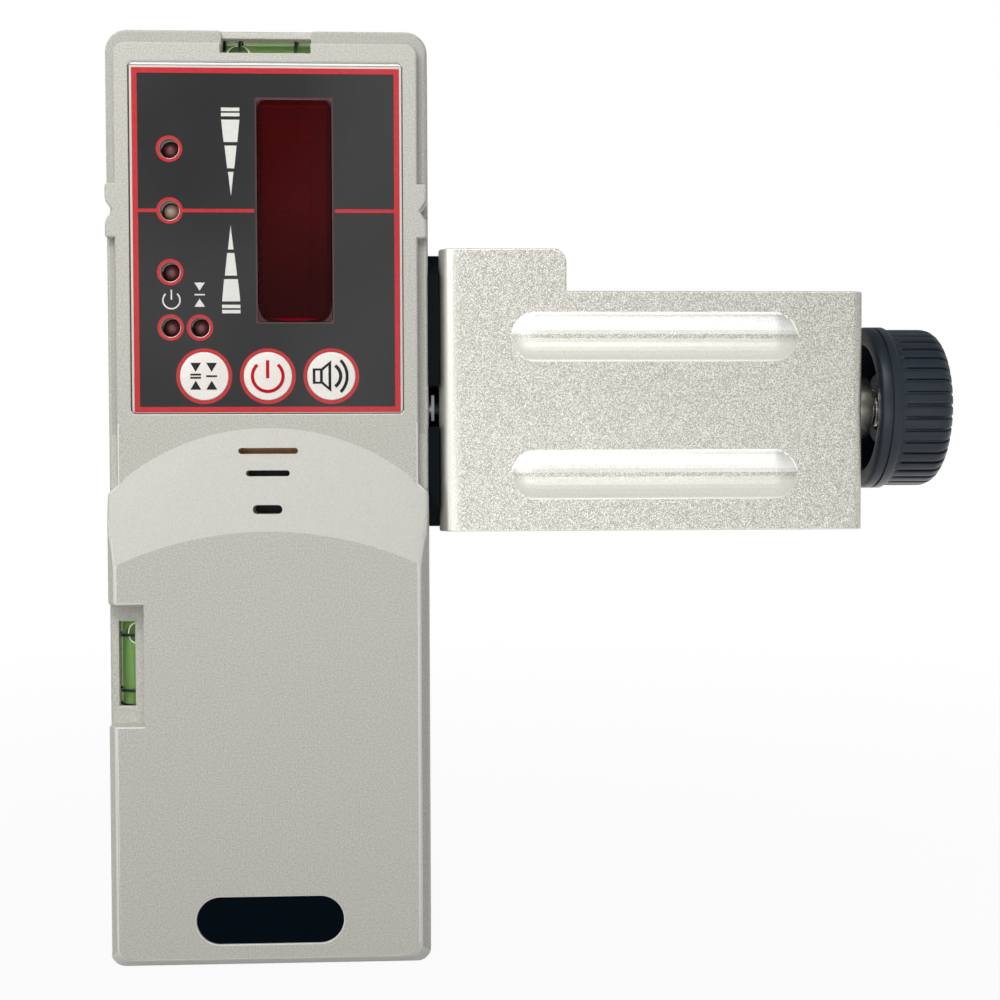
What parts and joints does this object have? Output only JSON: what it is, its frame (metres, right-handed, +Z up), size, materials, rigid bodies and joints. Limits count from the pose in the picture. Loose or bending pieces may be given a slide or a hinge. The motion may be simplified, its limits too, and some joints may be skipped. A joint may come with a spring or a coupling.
{
  "type": "laser receiver",
  "caption": "Upright box-shaped laser receiver with a detector window, keys, indicator lamps and bubble vials, held on a staff by a bent sheet bracket with a screw clamp.",
  "frame": {"origin": "middle of the receiver's base, on the plane where its two shells part", "axes": "+X to the right towards the clamp, +Y from the front to the back, +Z up, as the receiver is used on a staff"},
  "size_m": [0.1588, 0.0369, 0.172],
  "materials": {
    "shell": "matte",
    "gasket": "matte",
    "steel": "satin",
    "badge": "gloss",
    "panel": "gloss",
    "window": "gloss",
    "keys": "satin",
    "board": "satin",
    "electronics": "matte",
    "lamps": "gloss",
    "brass": "satin",
    "vial_tube": "polished",
    "vial_fluid": "gloss",
    "vial_rings": "matte",
    "battery_case": "satin",
    "bracket": "satin",
    "pads": "matte",
    "clamp_plastic": "satin"
  },
  "bodies": {
    "receiver": {"front_shell": "shell", "rear_shell": "shell", "shell_gasket": "gasket", "case_screws": "steel", "board_screws": "steel", "fixing_screw": "steel", "fixing_washer": "steel", "clamp_bush": "steel", "badge_plate": "badge", "front_panel": "panel", "detector_window": "window", "main_board": "board", "tact_switches": "electronics", "photodiodes": "electronics", "board_chips": "electronics", "battery_clip": "electronics", "signal_lamps": "lamps", "status_lamps": "lamps", "sounder": "brass", "mount_insert": "brass", "top_vial_tube": "vial_tube", "side_vial_tube": "vial_tube", "top_vial_fluid": "vial_fluid", "side_vial_fluid": "vial_fluid", "top_vial_rings": "vial_rings", "side_vial_rings": "vial_rings", "battery": "battery_case", "bracket": "bracket", "bracket_pad": "pads", "jaw_pad": "pads"},
    "accuracy_key": {"key_accuracy": "keys"},
    "power_key": {"key_power": "keys"},
    "volume_key": {"key_volume": "keys"},
    "door": {"battery_door": "shell"},
    "foot": {"clamp_foot": "clamp_plastic", "foot_pad": "pads"},
    "knob": {"clamp_knob": "clamp_plastic", "clamp_screw": "steel"}
  },
  "joints": [
    {"name": "accuracy_key_press", "type": "slide", "parent": "receiver", "child": "accuracy_key", "axis": [0, 1, 0], "range_m": [0, 0.0004], "stiffness_N_per_m": 1000},
    {"name": "power_key_press", "type": "slide", "parent": "receiver", "child": "power_key", "axis": [0, 1, 0], "range_m": [0, 0.0004], "stiffness_N_per_m": 1000},
    {"name": "volume_key_press", "type": "slide", "parent": "receiver", "child": "volume_key", "axis": [0, 1, 0], "range_m": [0, 0.0004], "stiffness_N_per_m": 1000},
    {"name": "door_hinge", "type": "hinge", "parent": "receiver", "child": "door", "pos_m": [0, 0.0115, 0.0095], "axis": [-1, 0, 0], "range_deg": [0, 95]},
    {"name": "foot_slide", "type": "slide", "parent": "receiver", "child": "foot", "axis": [1, 0, 0], "range_m": [0, 0.032]},
    {"name": "knob_turn", "type": "hinge", "parent": "foot", "child": "knob", "pos_m": [0.12, 0.006, 0.1031], "axis": [1, 0, 0], "range_deg": [0, 9220]}
  ],
  "couplings": [
    {"joint": "knob_turn", "follows": "foot_slide", "rad_per_m": 5026.5}
  ]
}
